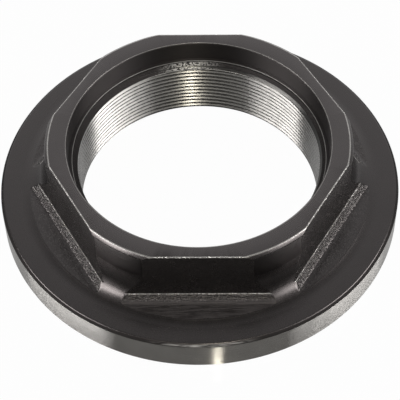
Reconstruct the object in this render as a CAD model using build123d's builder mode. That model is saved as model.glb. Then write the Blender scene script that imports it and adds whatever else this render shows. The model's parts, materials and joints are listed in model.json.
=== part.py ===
from build123d import *
from math import radians, sqrt, tan
import os

# A flanged hub nut in one piece: a forged hexagon on a round flange, turned all over
# except on its six flats and their feet, then bored, counterbored and threaded.
# Millimetres. Z is the axis of the thread, Z = 0 is the bearing face, and one flat faces -Y.

# Thread, M95 x 2 right-hand. The bore has the minor diameter of that thread.
thread_d = 95.0
thread_pitch = 2.0
thread_depth_per_pitch = 0.54127

# Hexagon. Its walls are measured outwards from the major diameter of the thread.
flat_count = 6
hex_wall = 7.5
hex_h = 23.4
flat_top_break = 0.3

# Corners of the hexagon, turned to one diameter and chamfered at the top.
corner_reach = 3.6
corner_chamfer_in = 1.3
corner_chamfer_down = 1.2

# Turned neck, one long fillet that joins the corners to the flange.
neck_radius = 11.5

# Foot of each flat: a long concave curve down to a narrow ledge, then a rough slope.
foot_radius = 18.0
foot_reach = 1.1
ledge_width = 0.5
ledge_rise = 3.0
slope_run = 2.25
crescent_rise = 0.75

# Flange, measured outwards from the turned corners.
flange_t = 13.0
flange_reach = 18.9
rim_chamfer_in = 1.2
rim_chamfer_down = 1.0
bearing_edge_break = 0.5

# Counterbore, lead-in with its short land, and exit chamfer, measured from the major diameter.
counterbore_reach = 2.5
counterbore_depth = 8.4
mouth_chamfer = 0.45
lead_in_reach = 1.0
lead_in_land = 0.8
exit_reach = 1.5
bore_chamfer_slope = 45.0

# How far the cutting shape runs past what it cuts.
cutter_clearance = 2.0

# Radii
thread_r = thread_d / 2
bore_r = thread_r - thread_depth_per_pitch * thread_pitch
counterbore_r = thread_r + counterbore_reach
lead_in_r = thread_r + lead_in_reach
exit_r = thread_r + exit_reach
flat_r = thread_r + hex_wall
corner_r = flat_r + corner_reach
flange_r = corner_r + flange_reach

# Heights above the bearing face
nut_h = flange_t + hex_h
counterbore_z = nut_h - counterbore_depth
lead_in_land_z = counterbore_z - lead_in_land
lead_in_foot_z = lead_in_land_z - (lead_in_r - bore_r) * tan(radians(bore_chamfer_slope))
exit_top_z = (exit_r - bore_r) * tan(radians(bore_chamfer_slope))
ledge_z = flange_t + ledge_rise
crescent_z = flange_t + crescent_rise
foot_top_z = ledge_z + sqrt(foot_radius**2 - (foot_radius - foot_reach) ** 2)

# Distances of the foot's edges from the axis, square to the flat
ledge_inner = flat_r + foot_reach
ledge_outer = ledge_inner + ledge_width
slope_foot = ledge_outer + slope_run

# The shape that clears one flat, seen end-on: flat, concave foot, ledge, slope and the level
# just above the turned face. It meets the turned neck in the ends of the ledge, and leaves a
# crescent of forged skin in front of each slope.
flat_section = Plane(origin=(0, 0, 0), x_dir=(0, -1, 0), z_dir=(-1, 0, 0))
with BuildPart() as flat_cutter:
    with BuildSketch(flat_section):
        with BuildLine():
            Polyline(
                (ledge_inner, ledge_z),
                (ledge_outer, ledge_z),
                (slope_foot, crescent_z),
                (flange_r + cutter_clearance, crescent_z),
                (flange_r + cutter_clearance, nut_h + cutter_clearance),
                (flat_r - flat_top_break, nut_h + cutter_clearance),
                (flat_r - flat_top_break, nut_h),
                (flat_r, nut_h - flat_top_break),
                (flat_r, foot_top_z),
            )
            RadiusArc((flat_r, foot_top_z), (ledge_inner, ledge_z), foot_radius)
        make_face()
    extrude(amount=flange_r + cutter_clearance, both=True)

# The turned body with its bore, and the six flats cleared from it.
with BuildPart() as hub_nut:
    with BuildSketch(Plane.XZ) as turned_section:
        with BuildLine():
            Polyline(
                (bore_r, exit_top_z),
                (exit_r, 0),
                (flange_r - bearing_edge_break, 0),
                (flange_r, bearing_edge_break),
                (flange_r, flange_t - rim_chamfer_down),
                (flange_r - rim_chamfer_in, flange_t),
                (corner_r, flange_t),
                (corner_r, nut_h - corner_chamfer_down),
                (corner_r - corner_chamfer_in, nut_h),
                (counterbore_r + mouth_chamfer, nut_h),
                (counterbore_r, nut_h - mouth_chamfer),
                (counterbore_r, counterbore_z),
                (lead_in_r, counterbore_z),
                (lead_in_r, lead_in_land_z),
                (bore_r, lead_in_foot_z),
                close=True,
            )
        make_face()
        neck = turned_section.vertices().sort_by_distance((corner_r, flange_t))[:1]
        fillet(neck, radius=neck_radius)
    revolve(axis=Axis.Z)
    with PolarLocations(0, flat_count):
        add(flat_cutter.part, mode=Mode.SUBTRACT)

hub_nut.part.label = "hub_nut"

os.makedirs("parts", exist_ok=True)
export_step(hub_nut.part, "parts/hub_nut.step")
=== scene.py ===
import json
from math import atan2, ceil, cos, degrees, pi, radians, sin, sqrt, tan

import bmesh
import bpy
from bpy.props import FloatProperty, FloatVectorProperty, PointerProperty
from mathutils import Matrix, Vector, noise


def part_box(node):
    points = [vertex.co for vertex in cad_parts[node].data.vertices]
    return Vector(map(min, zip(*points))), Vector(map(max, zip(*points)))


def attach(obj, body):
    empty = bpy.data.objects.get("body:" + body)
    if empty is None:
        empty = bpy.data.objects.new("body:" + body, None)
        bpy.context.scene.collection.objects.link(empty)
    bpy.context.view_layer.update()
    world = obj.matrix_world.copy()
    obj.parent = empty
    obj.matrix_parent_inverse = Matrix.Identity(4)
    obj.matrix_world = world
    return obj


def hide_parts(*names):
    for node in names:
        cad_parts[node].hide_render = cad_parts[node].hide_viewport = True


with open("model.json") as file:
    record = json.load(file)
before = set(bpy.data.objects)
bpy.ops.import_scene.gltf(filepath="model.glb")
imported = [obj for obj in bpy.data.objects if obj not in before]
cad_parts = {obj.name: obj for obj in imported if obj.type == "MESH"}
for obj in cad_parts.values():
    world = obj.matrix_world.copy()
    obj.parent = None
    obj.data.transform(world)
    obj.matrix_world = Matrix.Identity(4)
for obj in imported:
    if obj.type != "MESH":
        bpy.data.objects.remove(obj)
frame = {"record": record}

bl_info = {
    "name": "Flanged hub nut",
    "version": (1, 0, 0),
    "blender": (4, 5, 0),
    "location": "View3D > Sidebar > Hub nut",
    "description": "Builds a forged and turned flanged hub nut with its thread, finishes and studio",
    "category": "Add Mesh",
}

MM = 0.001
FLATS = 6
MOUNTS = {mount["name"]: mount for mount in frame["record"]["mounts"]}
LOW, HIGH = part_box("hub_nut")

# The finishes, in the order of the nut's material slots.
COATED, CROWN, CORNER, CHAMFER, BORED, FORGED, BARE, THREADED, SCALY = range(9)


class HubNutSizes(bpy.types.PropertyGroup):
    """The sizes and colours of the nut that a user would change."""

    thread_pitch: FloatProperty(
        name="Thread pitch", description="Rise of the thread in one turn",
        default=2.0 * MM, min=0.5 * MM, unit="LENGTH",
    )
    across_flats: FloatProperty(
        name="Across flats", description="Width of the hexagon from flat to flat",
        default=110.0 * MM, min=1.0 * MM, unit="LENGTH",
    )
    corner_reach: FloatProperty(
        name="Corner reach", description="How far the turned corners stand out beyond the flats",
        default=3.6 * MM, min=0.1 * MM, unit="LENGTH",
    )
    flange_thickness: FloatProperty(
        name="Flange thickness", description="Height of the flange's upper face",
        default=13.0 * MM, min=1.0 * MM, unit="LENGTH",
    )
    neck_radius: FloatProperty(
        name="Neck radius", description="Radius of the neck that joins the corners to the flange",
        default=11.5 * MM, min=1.0 * MM, unit="LENGTH",
    )
    ledge_rise: FloatProperty(
        name="Ledge rise", description="Height of the ledges above the flange's face",
        default=3.0 * MM, min=0.1 * MM, unit="LENGTH",
    )
    grain: FloatProperty(
        name="Forging grain", description="Height of the pebbly skin on the forged faces",
        default=0.035 * MM, min=0.0, unit="LENGTH",
    )
    coat_colour: FloatVectorProperty(
        name="Coat", description="Colour of the black coat", subtype="COLOR",
        size=3, min=0.0, max=1.0, default=(0.0052, 0.0047, 0.0046),
    )
    steel_colour: FloatVectorProperty(
        name="Steel", description="Colour of the bare turned steel", subtype="COLOR",
        size=3, min=0.0, max=1.0, default=(0.57, 0.56, 0.545),
    )


# Smaller sizes of the nut, in metres.
FLAT_TOP_BREAK = 0.3 * MM
CORNER_CHAMFER_IN = 1.3 * MM
CORNER_CHAMFER_DOWN = 1.2 * MM
FOOT_RADIUS = 18.0 * MM
FOOT_REACH = 1.1 * MM
LEDGE_WIDTH = 0.5 * MM
SLOPE_RUN = 2.25 * MM
SLOPE_BLEND = 1.4 * MM
CRESCENT_RISE = 0.75 * MM
RIM_CHAMFER_IN = 1.2 * MM
RIM_CHAMFER_DOWN = 1.0 * MM
BEARING_EDGE_BREAK = 0.5 * MM
MOUTH_CHAMFER = 0.45 * MM
LEAD_IN_REACH = 1.0 * MM
EXIT_REACH = 1.5 * MM

# Form of the thread: depth and root in shares of the pitch, slope of a flank, and where it starts.
THREAD_DEPTH_PER_PITCH = 0.54127
THREAD_ROOT_PER_PITCH = 1 / 8
THREAD_FLANK = radians(30)
THREAD_START = radians(63.5)

# How far the sharp edges of the section are rounded.
RIM_EASE = 0.15 * MM
FACE_EASE = 0.3 * MM
CROWN_EASE = 0.3 * MM
BORE_EASE = 0.12 * MM
LEDGE_EASE = LEDGE_WIDTH / 3

# How far cutting shapes run past what they cut.
OVERRUN = 2.0 * MM
GROOVE_OVERLAP = 0.25 * MM

# Where finishes change: how far below the top, the flange's face and the counterbore's floor.
CROWN_DOWN = 1.2 * CORNER_CHAMFER_DOWN
CHAMFER_FROM = 0.25 * RIM_CHAMFER_DOWN
SCALY_FROM = 0.1 * MM
# The scaly finish stops this far outside the lead-in.
SCALY_OUT = 1.0 * MM

# Forged skin: sizes of its pebbles and waves, and their heights in shares of the grain.
PEBBLE = 1.1 * MM
SMALL_PEBBLE = 0.6 * MM
SMALL_PEBBLE_SHARE = 0.5
WAVE = 7.0 * MM
WAVE_SHARE = 1.2

# How finely the meshes are divided.
TURNING_STEPS = 360
THREAD_STEPS = 180
NECK_STEPS = 20
SLOPE_STEPS = 8
FLAT_COLUMNS = 112
GRAIN_STEP = 0.55 * MM
MERGE_DISTANCE = 0.002 * MM
SHARP_ANGLE = radians(30)

# Sockets of a Mix node that mixes colours.
MIX_A = 6
MIX_B = 7
MIX_RESULT = 2

# Coats on the turned surfaces.
COATS = (
    # name, roughness, anisotropy, IOR
    ("flange_coat", 0.18, 0.2, 1.76),
    ("crown_coat", 0.18, 0.2, 1.95),
    ("corner_coat", 0.2, 0.2, 1.5),
    ("chamfer_coat", 0.5, 0.0, 1.35),
    ("bored_coat", 0.45, 0.95, 1.62),
)
FORGED_IOR = 1.75
SCALY_IOR = 1.36
COAT_TINT = (1.0, 0.92, 0.92, 1.0)
ALONG_RINGS = 0.25

# Patterns of the finishes: the size of each, and how deep the relief is that it stands for.
COAT_CLOUDS = 9.0 * MM
COAT_SPECKS = 0.45 * MM
TOOL_RINGS = 0.35 * MM
TOOL_RING_DEPTH = 0.01 * MM
FORGED_CLOUDS = 7.0 * MM
FORGED_PEBBLES = 0.5 * MM
FORGED_GRAINS = 0.3 * MM
FORGED_DEPTH = 0.5 * MM
STREAKS = 0.6 * MM
RIM_MARKS = 0.7 * MM
RIM_MARK_DEPTH = 0.002 * MM
RIM_STAINS = 6.0 * MM
TEARS = 0.7 * MM
TEAR_DEPTH = 0.01 * MM
THREAD_STAINS = 5.0 * MM
SCALES = 0.8 * MM
SCALE_GRAINS = 0.35 * MM
SCALE_DEPTH = 0.2 * MM
LEDGE_CHIPS = 0.7 * MM
RUBBED_PATCHES = 1.6 * MM
SCRAPES = 0.7 * MM

# The tool rings follow the radius plus this much of the height, so that they show on every wall.
FEED_SLANT = 1.7
# Streaks and scrapes are patterns drawn out along X.
DRAWN_OUT = (0.08, 1.0, 1.0)

# How far from each edge the coat is rubbed through.
WORN_DOWN = 0.5 * MM
WORN_FLAT = 0.46 * MM
WORN_CORNER = 0.4 * MM
WORN_MOUTH = 0.25 * MM
WORN_LEDGE = 0.3 * MM
WORN_SHOULDER = 0.3 * MM
WORN_CONE = 0.2 * MM

# Where the lead-in's bare facets paint its highlight, and where the rim's chamfer is scraped: middle and
# reach, across the nut.
HIGHLIGHT_PATCH_ACROSS = -4.0 * MM
HIGHLIGHT_PATCH_REACH = 15.0 * MM
SCRAPE_ACROSS = 2.0 * MM
SCRAPE_REACH = 22.0 * MM

# Camera, as fitted to the photograph: angles in degrees except the roll, lens and sensor in mm.
CAMERA_AZIMUTH = 1.372
CAMERA_ELEVATION = 52.136
CAMERA_DISTANCE = 0.6102
CAMERA_AIM = -0.92 * MM
CAMERA_ROLL = radians(-1.329)
CAMERA_LENS = 138.23
CAMERA_CLIP = 10.0 * MM
SENSOR = 36.0

# Floor: matt inside the bore and polished around the nut, whose upright walls mirror it.
FLOOR_RADIUS = 3.0
FLOOR_SIDES = 64
FLOOR_GAP = 0.02 * MM
FLOOR_COLOUR = (0.16, 0.16, 0.16)
FLOOR_IOR = 2.3
FLOOR_ROUGHNESS = 0.06
FLOOR_MATT = 45.0 * MM
FLOOR_POLISHED = 60.0 * MM
FLOOR_OPEN = 75.0 * MM
# White shares of the floor: to the camera, and to mirrored rays around the nut. Inside its bore the white is
# a painted glow that lights what the bore's walls and thread mirror.
FLOOR_WHITE_SEEN = 0.98
FLOOR_WHITE_BEHIND = 0.42
FLOOR_GLOW_IN_BORE = 0.95
# Where those whites set in: along Y around the nut, and for the painted glow on both sides along X inside
# the bore.
BEHIND_FROM, BEHIND_TO = -62.0 * MM, -18.0 * MM
BORE_GLOW_FROM, BORE_GLOW_TO = 22.0 * MM, 36.0 * MM

# Room: pale behind the nut, from the inner edge dimming to the outer. Angles are in degrees.
WHITE = (1.0, 1.0, 1.0)
ROOM_COLOUR = (0.82, 0.82, 0.82)
DIM_COLOUR = (0.02, 0.02, 0.02)
ROOM_AZIMUTH = 180
ROOM_ELEVATION = 12
ROOM_EDGE_INNER = 15
ROOM_EDGE_OUTER = 77

# Lamps, by direction in degrees. The narrow one in front draws the streak on the rim.
LAMP_DISTANCE = 1.2
LAMP_COLOUR = (1.0, 0.98, 0.96)
LAMPS = (
    # name, azimuth, elevation, width, height, radiance, colour
    ("left_softbox", -73, 39.5, 0.86, 0.34, 10.5, LAMP_COLOUR),
    ("right_softbox", 86, 40.5, 0.73, 0.36, 9.9, LAMP_COLOUR),
    ("right_front_softbox", 57, 41, 0.24, 0.42, 4.5, LAMP_COLOUR),
    ("left_low_softbox", -72, 20, 0.9, 0.36, 0.7, LAMP_COLOUR),
    ("right_low_softbox", 78, 17, 1.12, 0.38, 0.3, LAMP_COLOUR),
    ("front_lamp", 9.8, 60, 0.045, 0.3, 50.0, (1.0, 0.95, 0.8)),
    ("front_glow", 4, 68, 1.15, 0.3, 0.8, (1.0, 0.98, 0.94)),
)


def hub_sizes():
    """Every radius and height that the steps of the making share, as plain numbers in metres."""
    s = bpy.context.scene.hub_nut
    thread_mount = MOUNTS["axle_thread"]
    bore = thread_mount["dims"]["r_mm"] * MM
    bore_top = thread_mount["pos_m"][2] + thread_mount["dims"]["length_mm"] * MM / 2
    thread = bore + THREAD_DEPTH_PER_PITCH * s.thread_pitch
    flat = s.across_flats / 2
    face = s.flange_thickness
    top = HIGH.z
    corner = flat + s.corner_reach
    neck = s.neck_radius
    ledge_outer = flat + FOOT_REACH + LEDGE_WIDTH
    ledge = face + s.ledge_rise
    lead_in = thread + LEAD_IN_REACH
    return {
        "pitch": s.thread_pitch,
        "bore": bore,
        "bore_top": bore_top,
        "thread": thread,
        "exit": thread + EXIT_REACH,
        "lead_in": lead_in,
        "lead_in_land": bore_top + lead_in - bore,
        "counterbore": MOUNTS["counterbore"]["dims"]["r_mm"] * MM,
        "counterbore_floor": top - MOUTH_CHAMFER - MOUNTS["counterbore"]["dims"]["length_mm"] * MM,
        "flat": flat,
        "corner": corner,
        "neck": neck,
        "crescent_edge": corner + neck - sqrt(neck**2 - (neck - CRESCENT_RISE) ** 2),
        "rim": HIGH.x,
        "face": face,
        "top": top,
        "ledge_outer": ledge_outer,
        "ledge": ledge,
        "slope_foot": ledge_outer + SLOPE_RUN,
        "crescent": face + CRESCENT_RISE,
        "foot_top": ledge + sqrt(FOOT_RADIUS**2 - (FOOT_RADIUS - FOOT_REACH) ** 2),
    }


def arc(centre, radius, start, end, steps):
    """Points of an arc in the section, from one angle to another in degrees."""
    angles = [radians(start + (end - start) * i / steps) for i in range(steps + 1)]
    return [(centre[0] + radius * cos(a), centre[1] + radius * sin(a)) for a in angles]


def stretch(start, end, step):
    """Evenly spaced points from start up to, but not with, end."""
    count = max(1, ceil((Vector(end) - Vector(start)).length / step))
    return [tuple(Vector(start).lerp(Vector(end), i / count)) for i in range(count)]


def eased(before, corner, after, reach, steps=3):
    """Points that round a corner of the section, from the reach before it to the reach after it."""
    corner = Vector(corner)
    start = corner + (Vector(before) - corner).normalized() * reach
    end = corner + (Vector(after) - corner).normalized() * reach
    shares = [i / steps for i in range(steps + 1)]
    return [tuple(start.lerp(corner, t).lerp(corner.lerp(end, t), t)) for t in shares]


def eased_section(corners):
    """Points of a section through (radius, height) corners. A third number rounds its corner."""
    points = []
    for i, (radius, height, *reach) in enumerate(corners):
        if reach:
            points += eased(corners[i - 1][:2], (radius, height), corners[i + 1][:2], reach[0])
        else:
            points.append((radius, height))
    return points


def new_object(name, bm, finishes=()):
    """Turns a bmesh into an object at the origin, with its materials."""
    mesh = bpy.data.meshes.new(name)
    bm.to_mesh(mesh)
    bm.free()
    for material in finishes:
        mesh.materials.append(material)
    made = bpy.data.objects.new(name, mesh)
    bpy.context.scene.collection.objects.link(made)
    return made


def outline(bm, points):
    """A closed outline of (radius, height) points in the XZ plane."""
    corners = [bm.verts.new((radius, 0.0, height)) for radius, height in points]
    edges = [bm.edges.new((a, b)) for a, b in zip(corners, corners[1:] + corners[:1])]
    return corners + edges


def turned_finish(middle, s):
    """The finish of a face of the turned body, by where its middle lies."""
    radius = middle.xy.length
    if middle.z < s["bore_top"] and radius < s["exit"]:
        return THREADED
    if middle.z < s["face"] - RIM_CHAMFER_DOWN:
        return BARE
    if middle.z < s["counterbore_floor"] - SCALY_FROM and radius < s["lead_in"] + SCALY_OUT:
        return SCALY
    if radius < s["counterbore"] + MOUTH_CHAMFER / 2:
        return BORED
    if middle.z > s["top"] - CROWN_DOWN:
        return CROWN
    if middle.z > s["face"] + s["neck"]:
        return CORNER
    if middle.z < s["face"] - CHAMFER_FROM:
        return CHAMFER
    return COATED


def turned_blank(s, finishes):
    """The turned body: flange, neck, corner cylinder, counterbore, lead-in and plain bore."""
    neck = arc((s["corner"] + s["neck"], s["face"] + s["neck"]), s["neck"], 270, 180, NECK_STEPS)
    section = eased_section([
        (s["exit"], 0.0),
        (s["rim"] - BEARING_EDGE_BREAK, 0.0),
        (s["rim"], BEARING_EDGE_BREAK),
        (s["rim"], s["face"] - RIM_CHAMFER_DOWN, RIM_EASE),
        (s["rim"] - RIM_CHAMFER_IN, s["face"], FACE_EASE),
        *neck,
        (s["corner"], s["top"] - CORNER_CHAMFER_DOWN, CROWN_EASE),
        (s["corner"] - CORNER_CHAMFER_IN, s["top"], CROWN_EASE),
        (s["counterbore"] + MOUTH_CHAMFER, s["top"], BORE_EASE),
        (s["counterbore"], s["top"] - MOUTH_CHAMFER),
        (s["counterbore"], s["counterbore_floor"]),
        (s["lead_in"], s["counterbore_floor"], BORE_EASE),
        (s["lead_in"], s["lead_in_land"]),
        (s["bore"], s["bore_top"]),
        (s["bore"], s["exit"] - s["bore"]),
    ])
    bm = bmesh.new()
    bmesh.ops.spin(
        bm, geom=outline(bm, section), cent=(0, 0, 0), axis=(0, 0, 1), angle=2 * pi,
        steps=TURNING_STEPS, use_merge=True,
    )
    bmesh.ops.recalc_face_normals(bm, faces=bm.faces)
    for face in bm.faces:
        face.material_index = turned_finish(face.calc_center_median(), s)
    return new_object("turned_blank", bm, finishes)


def forged_section(s):
    """Corners of the forging's section, square to a flat: down in the bore, out, and up the skin."""
    start = 180 + degrees(atan2(s["foot_top"] - s["ledge"], FOOT_RADIUS - FOOT_REACH))
    steps = ceil(FOOT_RADIUS * radians(start - 180) / GRAIN_STEP)
    foot = arc((s["flat"] + FOOT_RADIUS, s["foot_top"]), FOOT_RADIUS, start, 180, steps)
    crown = s["top"] + OVERRUN
    core = s["bore"] * cos(pi / FLATS) - MM
    level = (s["crescent_edge"] + OVERRUN, s["crescent"])
    ledge = (s["ledge_outer"], s["ledge"])
    slope = eased(level, (s["slope_foot"], s["crescent"]), ledge, SLOPE_BLEND, SLOPE_STEPS)
    brow = eased(slope[-1], ledge, foot[0], LEDGE_EASE)
    edge = eased(foot[-1], (s["flat"], s["top"]), (0.0, s["top"]), FLAT_TOP_BREAK)
    return [
        (core, crown),
        (core, -OVERRUN),
        (s["rim"] + OVERRUN, -OVERRUN),
        (s["rim"] + OVERRUN, s["crescent"]),
        *stretch(level, slope[0], GRAIN_STEP),
        *slope[:-1],
        *stretch(slope[-1], brow[0], GRAIN_STEP),
        *brow,
        *foot[:-1],
        *stretch((s["flat"], s["foot_top"]), edge[0], GRAIN_STEP),
        *edge,
        (edge[-1][0] - OVERRUN, crown),
    ]


def forging(s, finishes):
    """The forged hexagon: flats, concave feet, ledges, slopes and a level outside them.

    Its faces carry the pebbly skin of a forging, so that where the turned body
    cuts them the edges are as uneven as the real ones.
    """
    bm = bmesh.new()
    at_corner = [(distance / cos(pi / FLATS), height) for distance, height in forged_section(s)]
    bmesh.ops.spin(
        bm, geom=outline(bm, at_corner), cent=(0, 0, 0), axis=(0, 0, 1), angle=2 * pi,
        steps=FLATS, use_merge=True,
    )
    bmesh.ops.subdivide_edges(bm, edges=edges_round_axis(bm), cuts=FLAT_COLUMNS, use_grid_fill=True)
    bmesh.ops.recalc_face_normals(bm, faces=bm.faces)
    bm.normal_update()
    grain = bpy.context.scene.hub_nut.grain
    for vertex in bm.verts:
        on_skin = s["flat"] - MM < vertex.co.xy.length < s["rim"]
        if on_skin and s["face"] < vertex.co.z < s["top"]:
            vertex.co += vertex.normal * forged_relief(vertex.co, grain)
    for face in bm.faces:
        face.material_index = FORGED
    return new_object("forging", bm, finishes)


def edges_round_axis(bm):
    """The edges that run round the axis, from one corner of the hexagon to the next."""
    same = MM / 1000
    edges = []
    for edge in bm.edges:
        start, end = (vertex.co for vertex in edge.verts)
        if abs(start.z - end.z) < same and abs(start.xy.length - end.xy.length) < same:
            edges.append(edge)
    return edges


def forged_relief(place, grain):
    """Height of the forged skin: a pebbly grain on slower waves."""
    pebbles = noise.noise(place / PEBBLE) + SMALL_PEBBLE_SHARE * noise.noise(place / SMALL_PEBBLE)
    return grain * (pebbles + WAVE_SHARE * noise.noise(place / WAVE))


def thread_groove(s, finishes):
    """The helical groove of the thread, as the closed shape that a single-point tool clears.

    One turn is spun with its rise, and the others are copies of it set end to end.
    """
    mouth = s["bore"] - GROOVE_OVERLAP
    half_root = s["pitch"] * THREAD_ROOT_PER_PITCH / 2
    half_mouth = half_root + (s["thread"] - mouth) * tan(THREAD_FLANK)
    start = -OVERRUN
    turns = ceil((s["counterbore_floor"] + 2 * OVERRUN) / s["pitch"])
    points = [
        (mouth, start - half_mouth),
        (s["thread"], start - half_root),
        (s["thread"], start + half_root),
        (mouth, start + half_mouth),
    ]
    bm = bmesh.new()
    bmesh.ops.spin(
        bm, geom=outline(bm, points), cent=(0, 0, 0), axis=(0, 0, 1), angle=2 * pi,
        dvec=(0, 0, s["pitch"] / THREAD_STEPS), steps=THREAD_STEPS, use_merge=False,
    )
    one_turn = bm.verts[:] + bm.edges[:] + bm.faces[:]
    for turn in range(1, turns):
        copied = bmesh.ops.duplicate(bm, geom=one_turn)["geom"]
        moved = [v for v in copied if isinstance(v, bmesh.types.BMVert)]
        bmesh.ops.translate(bm, verts=moved, vec=(0, 0, turn * s["pitch"]))
    bmesh.ops.remove_doubles(bm, verts=bm.verts, dist=MM / 1000)
    bmesh.ops.holes_fill(bm, edges=[e for e in bm.edges if e.is_boundary], sides=len(points))
    bmesh.ops.rotate(bm, verts=bm.verts, cent=(0, 0, 0), matrix=Matrix.Rotation(THREAD_START, 3, "Z"))
    bmesh.ops.recalc_face_normals(bm, faces=bm.faces)
    for face in bm.faces:
        face.material_index = THREADED
    return new_object("thread_groove", bm, finishes)


def machined(blank, tool, operation):
    """Keeps or clears of the blank what the tool's closed shape holds, and removes the tool."""
    cut = blank.modifiers.new(tool.name, "BOOLEAN")
    cut.operation = operation
    cut.solver = "EXACT"
    cut.object = tool
    graph = bpy.context.evaluated_depsgraph_get()
    mesh = bpy.data.meshes.new_from_object(blank.evaluated_get(graph))
    blank.modifiers.clear()
    blank.data = mesh
    bpy.data.objects.remove(tool)
    return blank


def smoothed(piece):
    """Merges what the cuts left too small to see, and shades the piece smooth between its edges."""
    bm = bmesh.new()
    bm.from_mesh(piece.data)
    bmesh.ops.remove_doubles(bm, verts=bm.verts, dist=MERGE_DISTANCE)
    bmesh.ops.dissolve_degenerate(bm, edges=bm.edges, dist=MERGE_DISTANCE)
    bm.to_mesh(piece.data)
    bm.free()
    piece.data.shade_smooth()
    piece.data.set_sharp_from_angle(angle=SHARP_ANGLE)


class Term:
    """A value in a node tree. Arithmetic on it adds Math nodes."""

    def __init__(self, nodes, socket):
        self.nodes = nodes
        self.socket = socket

    def output(self, name):
        """Another output of the same node."""
        return Term(self.nodes, self.socket.node.outputs[name])

    def math(self, operation, *others):
        return self.nodes.math(operation, self, *others)

    def __add__(self, other):
        return self.nodes.math("ADD", self, other)

    def __sub__(self, other):
        return self.nodes.math("SUBTRACT", self, other)

    def __rsub__(self, other):
        return self.nodes.math("SUBTRACT", other, self)

    def __mul__(self, other):
        return self.nodes.math("MULTIPLY", self, other)

    __radd__ = __add__
    __rmul__ = __mul__


class Nodes:
    """The nodes of one material or of the world."""

    def __init__(self, tree):
        self.tree = tree
        tree.nodes.clear()

    def node(self, kind, settings=None, sockets=None, output=0):
        """Adds a node: its settings first, then the values or links of its sockets."""
        made = self.tree.nodes.new(kind)
        for name, value in (settings or {}).items():
            setattr(made, name, value)
        for name, value in (sockets or {}).items():
            if isinstance(value, Term):
                self.tree.links.new(value.socket, made.inputs[name])
            else:
                made.inputs[name].default_value = value
        return Term(self, made.outputs[output]) if made.outputs else None

    def math(self, operation, *values):
        return self.node("ShaderNodeMath", {"operation": operation}, dict(enumerate(values)))

    def ramp(self, value, start, end, low=0.0, high=1.0):
        """Runs smoothly from low to high while the value goes from start to end."""
        return self.node(
            "ShaderNodeMapRange", {"interpolation_type": "SMOOTHSTEP"},
            {"Value": value, "From Min": start, "From Max": end, "To Min": low, "To Max": high},
        )

    def near(self, value, centre, reach):
        """1 where the value is at the centre, and smoothly 0 at the reach from it."""
        return self.ramp((value - centre).math("ABSOLUTE"), 0.0, reach, 1.0, 0.0)

    def noise(self, place, size, detail=2.0, roughness=0.5):
        """Noise from 0 to 1 whose patches measure about the size, in metres."""
        return self.node(
            "ShaderNodeTexNoise",
            sockets={"Vector": place, "Scale": 1.0 / size, "Detail": detail, "Roughness": roughness},
        )

    def rings(self, feed, size, detail):
        """Noise from 0 to 1 that changes only along the feed, as the marks of turning do."""
        return self.node(
            "ShaderNodeTexNoise", {"noise_dimensions": "1D"},
            {"W": feed, "Scale": 1.0 / size, "Detail": detail},
        )

    def mix(self, factor, first, second):
        """Mixes two colours."""
        return self.node(
            "ShaderNodeMix", {"data_type": "RGBA"},
            {"Factor": factor, MIX_A: first, MIX_B: second}, output=MIX_RESULT,
        )

    def bump(self, height, depth, strength=1.0):
        """The normal of a relief. A height of 1 stands for the depth, in metres."""
        sockets = {"Strength": strength, "Distance": depth, "Height": height}
        return self.node("ShaderNodeBump", sockets=sockets)

    def shader(self, sockets):
        """Ends the tree in a Principled shader."""
        surface = self.node("ShaderNodeBsdfPrincipled", {"distribution": "GGX"}, sockets)
        self.node("ShaderNodeOutputMaterial", sockets={"Surface": surface})


def new_finish(name):
    """A new material with empty nodes."""
    material = bpy.data.materials.new(name)
    material.use_nodes = True
    return material, Nodes(material.node_tree)


def rgba(colour, share=1.0):
    """A colour with its alpha, darkened to a share or brightened by it."""
    return (*(channel * share for channel in colour), 1.0)


class Place:
    """Where a point of the surface lies on the nut, from its Object coordinates."""

    def __init__(self, nodes):
        self.vector = nodes.node("ShaderNodeTexCoord", output="Object")
        x = nodes.node("ShaderNodeSeparateXYZ", sockets={"Vector": self.vector})
        y = x.output("Y")
        self.across = x
        self.behind = y
        self.height = x.output("Z")
        self.radius = (x * x + y * y).math("SQRT")
        square = [(x * sin(a) + y * cos(a)).math("ABSOLUTE") for a in (0, pi / 3, -pi / 3)]
        self.flat = square[0].math("MAXIMUM", square[1]).math("MAXIMUM", square[2])
        self.feed = self.radius + self.height * FEED_SLANT
        self.drawn_out = nodes.node(
            "ShaderNodeVectorMath", {"operation": "MULTIPLY"}, {0: self.vector, 1: DRAWN_OUT},
        )


def worn_edges(nodes, place, s):
    """Where the coat is rubbed through on the edges of the hexagon, ledges, bore and flange."""
    at_top = nodes.near(place.height, s["top"], WORN_DOWN)
    hexagon = nodes.near(place.flat, s["flat"] - FLAT_TOP_BREAK / 2, WORN_FLAT) * at_top
    corner = nodes.near(place.radius, s["corner"] - CORNER_CHAMFER_IN, WORN_CORNER) * at_top
    mouth = nodes.near(place.radius, s["counterbore"] + MOUTH_CHAMFER, WORN_MOUTH) * at_top
    ledge = nodes.near(place.flat, s["ledge_outer"], WORN_LEDGE)
    ledge = ledge * nodes.near(place.height, s["ledge"], WORN_LEDGE)
    broken = nodes.ramp(nodes.noise(place.vector, LEDGE_CHIPS), 0.42, 0.55, 0.3, 1.0)
    edges = hexagon.math("MAXIMUM", corner).math("MAXIMUM", mouth * 0.4)
    edges = edges.math("MAXIMUM", worn_shoulder(nodes, place, s)).math("MAXIMUM", ledge * broken)
    rubbed = nodes.ramp(nodes.noise(place.vector, RUBBED_PATCHES, detail=3.0), 0.35, 0.6, 0.7, 1.0)
    return (edges * rubbed).math("MAXIMUM", scraped_chamfer(nodes, place, s))


def worn_shoulder(nodes, place, s):
    """The rubbed edge between the counterbore's floor and the lead-in."""
    edge = nodes.near(place.radius, s["lead_in"], WORN_SHOULDER)
    return edge * nodes.near(place.height, s["counterbore_floor"], WORN_SHOULDER)


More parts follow.
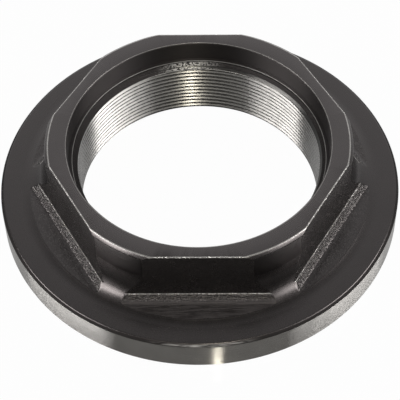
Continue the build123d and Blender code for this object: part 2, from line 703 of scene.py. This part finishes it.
def scraped_chamfer(nodes, place, s):
    """The broken scrape along the front of the flange's chamfer."""
    band = nodes.near(place.height, s["face"] - 0.6 * RIM_CHAMFER_DOWN, RIM_CHAMFER_DOWN / 2)
    band = band * nodes.near(place.radius, s["rim"] - 0.5 * RIM_CHAMFER_IN, MM)
    front = nodes.near(place.across, SCRAPE_ACROSS, SCRAPE_REACH) * nodes.ramp(place.behind, 0.0, -s["flat"])
    lines = nodes.noise(place.drawn_out, SCRAPES, detail=3.0, roughness=0.6)
    return band * front * nodes.ramp(lines, 0.34, 0.58, 0.0, 0.9)


def coated_finish(s, name, roughness, anisotropy, ior):
    """Black coat on turned steel, with the fine rings that the tool left under it."""
    colours = bpy.context.scene.hub_nut
    material, nodes = new_finish(name)
    place = Place(nodes)
    bare_share = worn_edges(nodes, place, s)
    clouds = nodes.noise(place.vector, COAT_CLOUDS, detail=4.0, roughness=0.6)
    specks = nodes.noise(place.vector, COAT_SPECKS)
    rings = nodes.rings(place.feed, TOOL_RINGS, detail=3.0)
    dark, pale = rgba(colours.coat_colour, 0.8), rgba(colours.coat_colour, 1.25)
    coat = nodes.mix(nodes.ramp(clouds, 0.3, 0.7), dark, pale)
    nodes.shader({
        "Base Color": nodes.mix(bare_share, coat, rgba(colours.steel_colour)),
        "Metallic": bare_share,
        "Roughness": roughness + 0.08 * clouds + 0.05 * specks + 0.05 * rings,
        "IOR": ior,
        "Specular Tint": COAT_TINT,
        "Anisotropic": anisotropy,
        "Anisotropic Rotation": ALONG_RINGS,
        "Normal": nodes.bump(rings + 0.8 * specks, TOOL_RING_DEPTH, strength=0.5),
    })
    return material


def forged_finish(s):
    """Black coat on forged skin: pebbly, with bare specks on the slopes that are rubbed pebble tops and
    painted glints of light, fewer on the front as painted shade there, and streaked in front.
    """
    colours = bpy.context.scene.hub_nut
    material, nodes = new_finish("forged_coat")
    place = Place(nodes)
    pebbles = nodes.noise(place.vector, FORGED_PEBBLES, detail=1.5)
    grains = nodes.noise(place.vector, FORGED_GRAINS)
    clouds = nodes.noise(place.vector, FORGED_CLOUDS, detail=3.0)
    streaks = nodes.noise(place.drawn_out, STREAKS, detail=3.0, roughness=0.6)
    streaks = nodes.ramp(streaks, 0.35, 0.65)

    # The level outside a slope is nearly smooth. On the nut's front it is streaked and the bend dull.
    crescent = s["crescent"]
    pebbly = nodes.ramp(place.height, crescent + 0.15 * MM, crescent + 0.5 * MM, 0.12, 1.0)
    level = nodes.ramp(place.height, crescent + 0.9 * MM, crescent + 0.4 * MM)
    bend = nodes.near(place.height, crescent + 0.4 * MM, 0.5 * MM)
    front = nodes.ramp(place.behind, 0.5 * MM - s["flat"], -2.0 * MM - s["flat"])

    below_ledge = nodes.ramp(place.height, s["ledge"], s["ledge"] - WORN_LEDGE)
    # Bare specks on the slopes: rubbed pebble tops and painted glints of light. They are thinned on the
    # nut's front, which paints shade there.
    rub_and_glint_specks = nodes.ramp(pebbles, 0.54, 0.66, 0.0, 0.35) * below_ledge * pebbly * (1.0 - 0.75 * front)
    bare_share = worn_edges(nodes, place, s).math("MAXIMUM", rub_and_glint_specks)
    dark, pale = rgba(colours.coat_colour, 0.7), rgba(colours.coat_colour, 1.5)
    coat = nodes.mix(nodes.ramp(pebbles, 0.35, 0.7), dark, pale)
    dulled = front * (0.05 + 0.28 * streaks * level + 0.35 * bend)
    skin = (pebbles + 0.2 * grains - 0.6) * pebbly * (1.0 - 0.5 * front) + 0.09 * streaks * front
    nodes.shader({
        "Base Color": nodes.mix(bare_share, coat, rgba(colours.steel_colour)),
        "Metallic": bare_share,
        "Roughness": 0.17 + 0.08 * clouds + 0.08 * grains + dulled,
        "IOR": FORGED_IOR,
        "Specular Tint": COAT_TINT,
        "Normal": nodes.bump(skin, FORGED_DEPTH),
    })
    return material


def bare_finish():
    """Bright turned steel, whose fine circumferential marks draw reflections out along the axis."""
    colours = bpy.context.scene.hub_nut
    material, nodes = new_finish("turned_steel")
    place = Place(nodes)
    marks = nodes.rings(place.feed, RIM_MARKS, detail=1.0)
    stains = nodes.noise(place.vector, RIM_STAINS, detail=4.0)
    tone = nodes.ramp(0.6 * marks + 0.4 * stains, 0.3, 0.7)
    nodes.shader({
        "Base Color": nodes.mix(tone, rgba(colours.steel_colour, 0.85), rgba(colours.steel_colour, 1.1)),
        "Metallic": 1.0,
        "Roughness": 0.21 + 0.02 * marks,
        "Anisotropic": 1.0,
        "Anisotropic Rotation": ALONG_RINGS,
        "Normal": nodes.bump(marks, RIM_MARK_DEPTH),
    })
    return material


def threaded_finish(s):
    """Cut steel of the thread: bright flanks, duller crests, and dark where it starts at the top."""
    colours = bpy.context.scene.hub_nut
    material, nodes = new_finish("threaded_steel")
    place = Place(nodes)
    crest = nodes.ramp(place.radius, s["bore"] + 0.04 * MM, s["bore"] + 0.16 * MM, 1.0, 0.0)
    first_turn = nodes.ramp(place.height, s["bore_top"] - 0.9 * MM, s["bore_top"] - 0.1 * MM, 0.0, 0.85)
    tears = nodes.noise(place.vector, TEARS, detail=4.0, roughness=0.6)
    stains = nodes.noise(place.vector, THREAD_STAINS, detail=4.0)
    tone = nodes.ramp(0.5 * tears + 0.5 * stains, 0.3, 0.7)
    flank = nodes.mix(tone, rgba(colours.steel_colour, 0.8), rgba(colours.steel_colour, 1.05))
    base = nodes.mix(crest, flank, rgba(colours.steel_colour, 0.42))
    nodes.shader({
        "Base Color": nodes.mix(first_turn, base, rgba(colours.steel_colour, 0.08)),
        "Metallic": 1.0,
        "Roughness": 0.27 + 0.08 * tears - 0.04 * crest,
        "Anisotropic": 0.9,
        "Anisotropic Rotation": ALONG_RINGS,
        "Normal": nodes.bump(tears, TEAR_DEPTH, strength=0.6),
    })
    return material


def scaly_finish(s):
    """Dull coat on the lead-in, scaly all round, with bare glinting facets only at the back: a painted
    highlight where the front lamp's light falls.
    """
    colours = bpy.context.scene.hub_nut
    material, nodes = new_finish("scaly_coat")
    place = Place(nodes)
    cone_edge = nodes.near(place.height, s["bore_top"], WORN_CONE)
    edge = cone_edge.math("MAXIMUM", worn_shoulder(nodes, place, s))
    scales = nodes.noise(place.vector, SCALES, roughness=0.6)
    grains = nodes.noise(place.vector, SCALE_GRAINS)
    highlight_patch = nodes.near(place.across, HIGHLIGHT_PATCH_ACROSS, HIGHLIGHT_PATCH_REACH) * nodes.ramp(place.behind, 0.0, s["bore"])
    # Painted highlight: bare glinting facets only at the back, where the front lamp's highlight falls. The
    # scales' relief runs all round.
    bare = highlight_patch * nodes.ramp(scales, 0.42, 0.54)
    bare_share = bare.math("MAXIMUM", edge)
    nodes.shader({
        "Base Color": nodes.mix(bare_share, rgba(colours.coat_colour), rgba(colours.steel_colour, 0.8)),
        "Metallic": bare_share,
        "Roughness": 0.5 - 0.15 * bare,
        "IOR": SCALY_IOR,
        "Specular Tint": COAT_TINT,
        "Normal": nodes.bump(scales + 0.3 * grains, SCALE_DEPTH),
    })
    return material


def floor_finish():
    """Pale floor: nearly white to the camera, with a little of the nut's shadow left in it.

    Mirrored rays see it partly white too: around the nut except in front, and at both sides inside its bore,
    where the white is a painted glow that lights the reflections in the bore.
    """
    material, nodes = new_finish("studio_floor")
    path = nodes.node("ShaderNodeLightPath", output="Is Camera Ray")
    mirrored = path.output("Is Glossy Ray").math("MAXIMUM", path.output("Is Transmission Ray"))
    place = Place(nodes)
    outside = nodes.ramp(place.radius, FLOOR_POLISHED, FLOOR_OPEN)
    behind = outside * nodes.ramp(place.behind, BEHIND_FROM, BEHIND_TO)
    # Painted glow: inside the bore the floor shines white to mirrored rays on both sides, lighting the
    # reflections in the bore's walls and thread.
    bore_glow = (1.0 - outside) * nodes.ramp(place.across.math("ABSOLUTE"), BORE_GLOW_FROM, BORE_GLOW_TO)
    share = path * FLOOR_WHITE_SEEN
    share = share + mirrored * (behind * FLOOR_WHITE_BEHIND + bore_glow * FLOOR_GLOW_IN_BORE)
    matt = nodes.node("ShaderNodeBsdfDiffuse", sockets={"Color": rgba(FLOOR_COLOUR)})
    polished = nodes.node(
        "ShaderNodeBsdfPrincipled", {"distribution": "GGX"},
        {"Base Color": rgba(FLOOR_COLOUR), "Roughness": FLOOR_ROUGHNESS, "IOR": FLOOR_IOR},
    )
    polish = nodes.ramp(place.radius, FLOOR_MATT, FLOOR_POLISHED)
    lit = nodes.node("ShaderNodeMixShader", sockets={0: polish, 1: matt, 2: polished})
    white = nodes.node("ShaderNodeEmission", sockets={"Color": rgba(WHITE), "Strength": 1.0})
    surface = nodes.node("ShaderNodeMixShader", sockets={0: share, 1: lit, 2: white})
    nodes.node("ShaderNodeOutputMaterial", sockets={"Surface": surface})
    return material


def direction(azimuth, elevation):
    """Unit vector towards a place in the studio. Azimuth 0 is in front, on -Y, and +90 on the right."""
    flat = cos(radians(elevation))
    return Vector((sin(radians(azimuth)) * flat, -cos(radians(azimuth)) * flat, sin(radians(elevation))))


def studio_world():
    """Soft light from behind, dim in front and overhead, and white to the camera."""
    world = bpy.data.worlds.new("studio")
    world.use_nodes = True
    bpy.context.scene.world = world
    nodes = Nodes(world.node_tree)
    ray = nodes.node("ShaderNodeTexCoord", output="Generated")
    behind = nodes.node(
        "ShaderNodeVectorMath", {"operation": "DOT_PRODUCT"},
        {0: ray, 1: direction(ROOM_AZIMUTH, ROOM_ELEVATION)}, output="Value",
    )
    lit = nodes.ramp(behind, cos(radians(ROOM_EDGE_OUTER)), cos(radians(ROOM_EDGE_INNER)))
    colour = nodes.mix(lit, rgba(DIM_COLOUR), rgba(ROOM_COLOUR))
    seen = nodes.node("ShaderNodeLightPath", output="Is Camera Ray")
    colour = nodes.mix(seen, colour, rgba(WHITE))
    light = nodes.node("ShaderNodeBackground", sockets={"Color": colour, "Strength": 1.0})
    nodes.node("ShaderNodeOutputWorld", sockets={"Surface": light})


def area_lamp(name, azimuth, elevation, width, height, radiance, colour):
    """An area lamp that faces the nut, as bright as its radiance says."""
    lamp = bpy.data.lights.new(name, "AREA")
    lamp.shape = "RECTANGLE"
    lamp.size = width
    lamp.size_y = height
    lamp.energy = radiance * pi * width * height
    lamp.color = colour
    hung = bpy.data.objects.new(name, lamp)
    hung.location = LAMP_DISTANCE * direction(azimuth, elevation)
    hung.rotation_euler = direction(azimuth, elevation).to_track_quat("Z", "Y").to_euler()
    bpy.context.scene.collection.objects.link(hung)


def camera():
    """The camera of the photograph: where it stands, how it leans and its lens."""
    seat = CAMERA_DISTANCE * direction(CAMERA_AZIMUTH, CAMERA_ELEVATION)
    look = (seat - Vector((0.0, 0.0, CAMERA_AIM))).to_track_quat("Z", "Y").to_matrix()
    lens = bpy.data.cameras.new("camera")
    lens.sensor_width = SENSOR
    lens.lens = CAMERA_LENS
    lens.clip_start = CAMERA_CLIP
    eye = bpy.data.objects.new("camera", lens)
    eye.matrix_world = Matrix.Translation(seat) @ (look @ Matrix.Rotation(CAMERA_ROLL, 3, "Z")).to_4x4()
    bpy.context.scene.collection.objects.link(eye)
    bpy.context.scene.camera = eye


class HUBNUT_OT_nut(bpy.types.Operator):
    """Make the nut: turn the blank, keep the forged flats, cut the thread and finish every surface"""

    bl_idname = "hubnut.nut"
    bl_label = "Make the nut"
    bl_options = {"REGISTER", "UNDO"}

    def execute(self, context):
        s = hub_sizes()
        finishes = [coated_finish(s, *coat) for coat in COATS]
        finishes += [forged_finish(s), bare_finish(), threaded_finish(s), scaly_finish(s)]
        nut = machined(turned_blank(s, finishes), forging(s, finishes), "INTERSECT")
        nut = machined(nut, thread_groove(s, finishes), "DIFFERENCE")
        smoothed(nut)
        nut.name = "forged_and_turned_nut"
        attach(nut, "root")
        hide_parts("hub_nut")
        return {"FINISHED"}


class HUBNUT_OT_stage(bpy.types.Operator):
    """Set up the pale floor, the room, the lamps and the camera"""

    bl_idname = "hubnut.stage"
    bl_label = "Set up the stage"
    bl_options = {"REGISTER", "UNDO"}

    def execute(self, context):
        bm = bmesh.new()
        bmesh.ops.create_circle(bm, cap_ends=True, segments=FLOOR_SIDES, radius=FLOOR_RADIUS)
        bmesh.ops.translate(bm, verts=bm.verts, vec=(0.0, 0.0, LOW.z - FLOOR_GAP))
        floor = new_object("floor", bm, [floor_finish()])
        studio_world()
        for lamp in LAMPS:
            area_lamp(*lamp)
        camera()
        context.scene.view_settings.view_transform = "Standard"
        return {"FINISHED"}


class HUBNUT_PT_panel(bpy.types.Panel):
    """The sizes, the colours and the steps of the hub nut"""

    bl_idname = "HUBNUT_PT_panel"
    bl_label = "Hub nut"
    bl_space_type = "VIEW_3D"
    bl_region_type = "UI"
    bl_category = "Hub nut"

    def draw(self, context):
        layout = self.layout
        layout.use_property_split = True
        for name in HubNutSizes.__annotations__:
            layout.prop(context.scene.hub_nut, name)
        layout.operator(HUBNUT_OT_nut.bl_idname)
        layout.operator(HUBNUT_OT_stage.bl_idname)


CLASSES = (HubNutSizes, HUBNUT_OT_nut, HUBNUT_OT_stage, HUBNUT_PT_panel)


def register():
    for item in CLASSES:
        bpy.utils.register_class(item)
    bpy.types.Scene.hub_nut = PointerProperty(type=HubNutSizes)


def unregister():
    del bpy.types.Scene.hub_nut
    for item in reversed(CLASSES):
        bpy.utils.unregister_class(item)


def main():
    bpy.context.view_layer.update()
    register()
    bpy.ops.hubnut.nut()
    bpy.ops.hubnut.stage()


if __name__ == "__main__":
    main()
